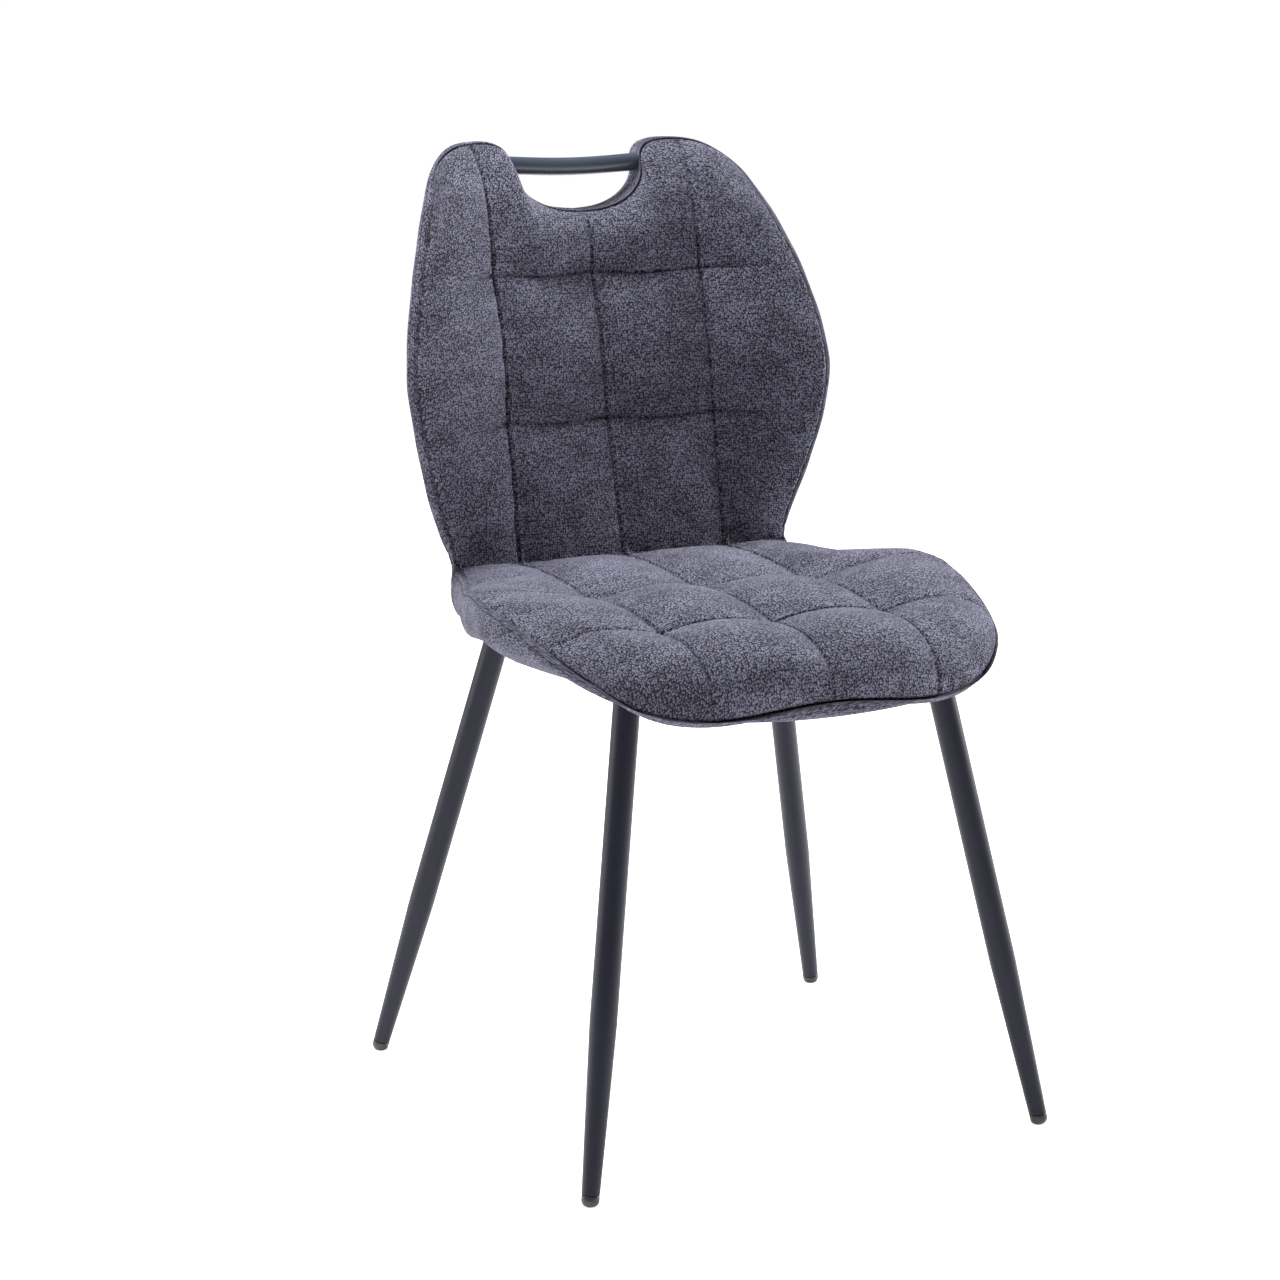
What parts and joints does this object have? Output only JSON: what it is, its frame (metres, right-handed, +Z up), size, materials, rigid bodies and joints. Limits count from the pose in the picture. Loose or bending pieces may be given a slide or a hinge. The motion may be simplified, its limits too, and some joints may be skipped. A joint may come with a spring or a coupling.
{
  "type": "dining chair",
  "caption": "Upholstered dining chair with a quilted, winged back, a steel hand rail in a notch at the top, and splayed tapered steel legs.",
  "frame": {"origin": "on the floor, at the middle of the chair's bounding box seen from above", "axes": "+Z up, +X to the right of a person looking at the chair's front from in front of it, +Y towards the back of the chair, so the chair faces -Y"},
  "size_m": [0.5138, 0.57, 0.903],
  "materials": {
    "cover_fabric": "dark charcoal chenille with a slub weave, slightly violet, soft sheen",
    "plywood": "moulded beech plywood, unfinished",
    "black_powder_coat": "satin black powder coat on steel",
    "rail_paint": "smooth satin anthracite paint on steel tube",
    "glide_plastic": "moulded black plastic",
    "zinc_plate": "bright zinc plate",
    "lining_cloth": "black non-woven lining cloth"
  },
  "bodies": {
    "root": {"seat_pad": "cover_fabric", "back_pad": "cover_fabric", "back_rear_panel": "cover_fabric", "seat_board": "plywood", "back_board": "plywood", "underside_lining": "lining_cloth", "hand_rail": "rail_paint", "back_bracket_left": "black_powder_coat", "bracket_seat_bolt_left_1": "zinc_plate", "bracket_back_bolt_left_1": "zinc_plate", "rail_screw_left_1": "zinc_plate", "bracket_seat_bolt_left_2": "zinc_plate", "bracket_back_bolt_left_2": "zinc_plate", "rail_screw_left_2": "zinc_plate", "back_bracket_right": "black_powder_coat", "bracket_seat_bolt_right_1": "zinc_plate", "bracket_back_bolt_right_1": "zinc_plate", "rail_screw_right_1": "zinc_plate", "bracket_seat_bolt_right_2": "zinc_plate", "bracket_back_bolt_right_2": "zinc_plate", "rail_screw_right_2": "zinc_plate", "leg_front_left": "black_powder_coat", "leg_plate_front_left": "black_powder_coat", "glide_front_left": "glide_plastic", "leg_bolt_front_left_1": "zinc_plate", "threaded_insert_front_left_1": "zinc_plate", "leg_bolt_front_left_2": "zinc_plate", "threaded_insert_front_left_2": "zinc_plate", "leg_bolt_front_left_3": "zinc_plate", "threaded_insert_front_left_3": "zinc_plate", "leg_front_right": "black_powder_coat", "leg_plate_front_right": "black_powder_coat", "glide_front_right": "glide_plastic", "leg_bolt_front_right_1": "zinc_plate", "threaded_insert_front_right_1": "zinc_plate", "leg_bolt_front_right_2": "zinc_plate", "threaded_insert_front_right_2": "zinc_plate", "leg_bolt_front_right_3": "zinc_plate", "threaded_insert_front_right_3": "zinc_plate", "leg_rear_left": "black_powder_coat", "leg_plate_rear_left": "black_powder_coat", "glide_rear_left": "glide_plastic", "leg_bolt_rear_left_1": "zinc_plate", "threaded_insert_rear_left_1": "zinc_plate", "leg_bolt_rear_left_2": "zinc_plate", "threaded_insert_rear_left_2": "zinc_plate", "leg_bolt_rear_left_3": "zinc_plate", "threaded_insert_rear_left_3": "zinc_plate", "leg_rear_right": "black_powder_coat", "leg_plate_rear_right": "black_powder_coat", "glide_rear_right": "glide_plastic", "leg_bolt_rear_right_1": "zinc_plate", "threaded_insert_rear_right_1": "zinc_plate", "leg_bolt_rear_right_2": "zinc_plate", "threaded_insert_rear_right_2": "zinc_plate", "leg_bolt_rear_right_3": "zinc_plate", "threaded_insert_rear_right_3": "zinc_plate"}
  },
  "joints": []
}
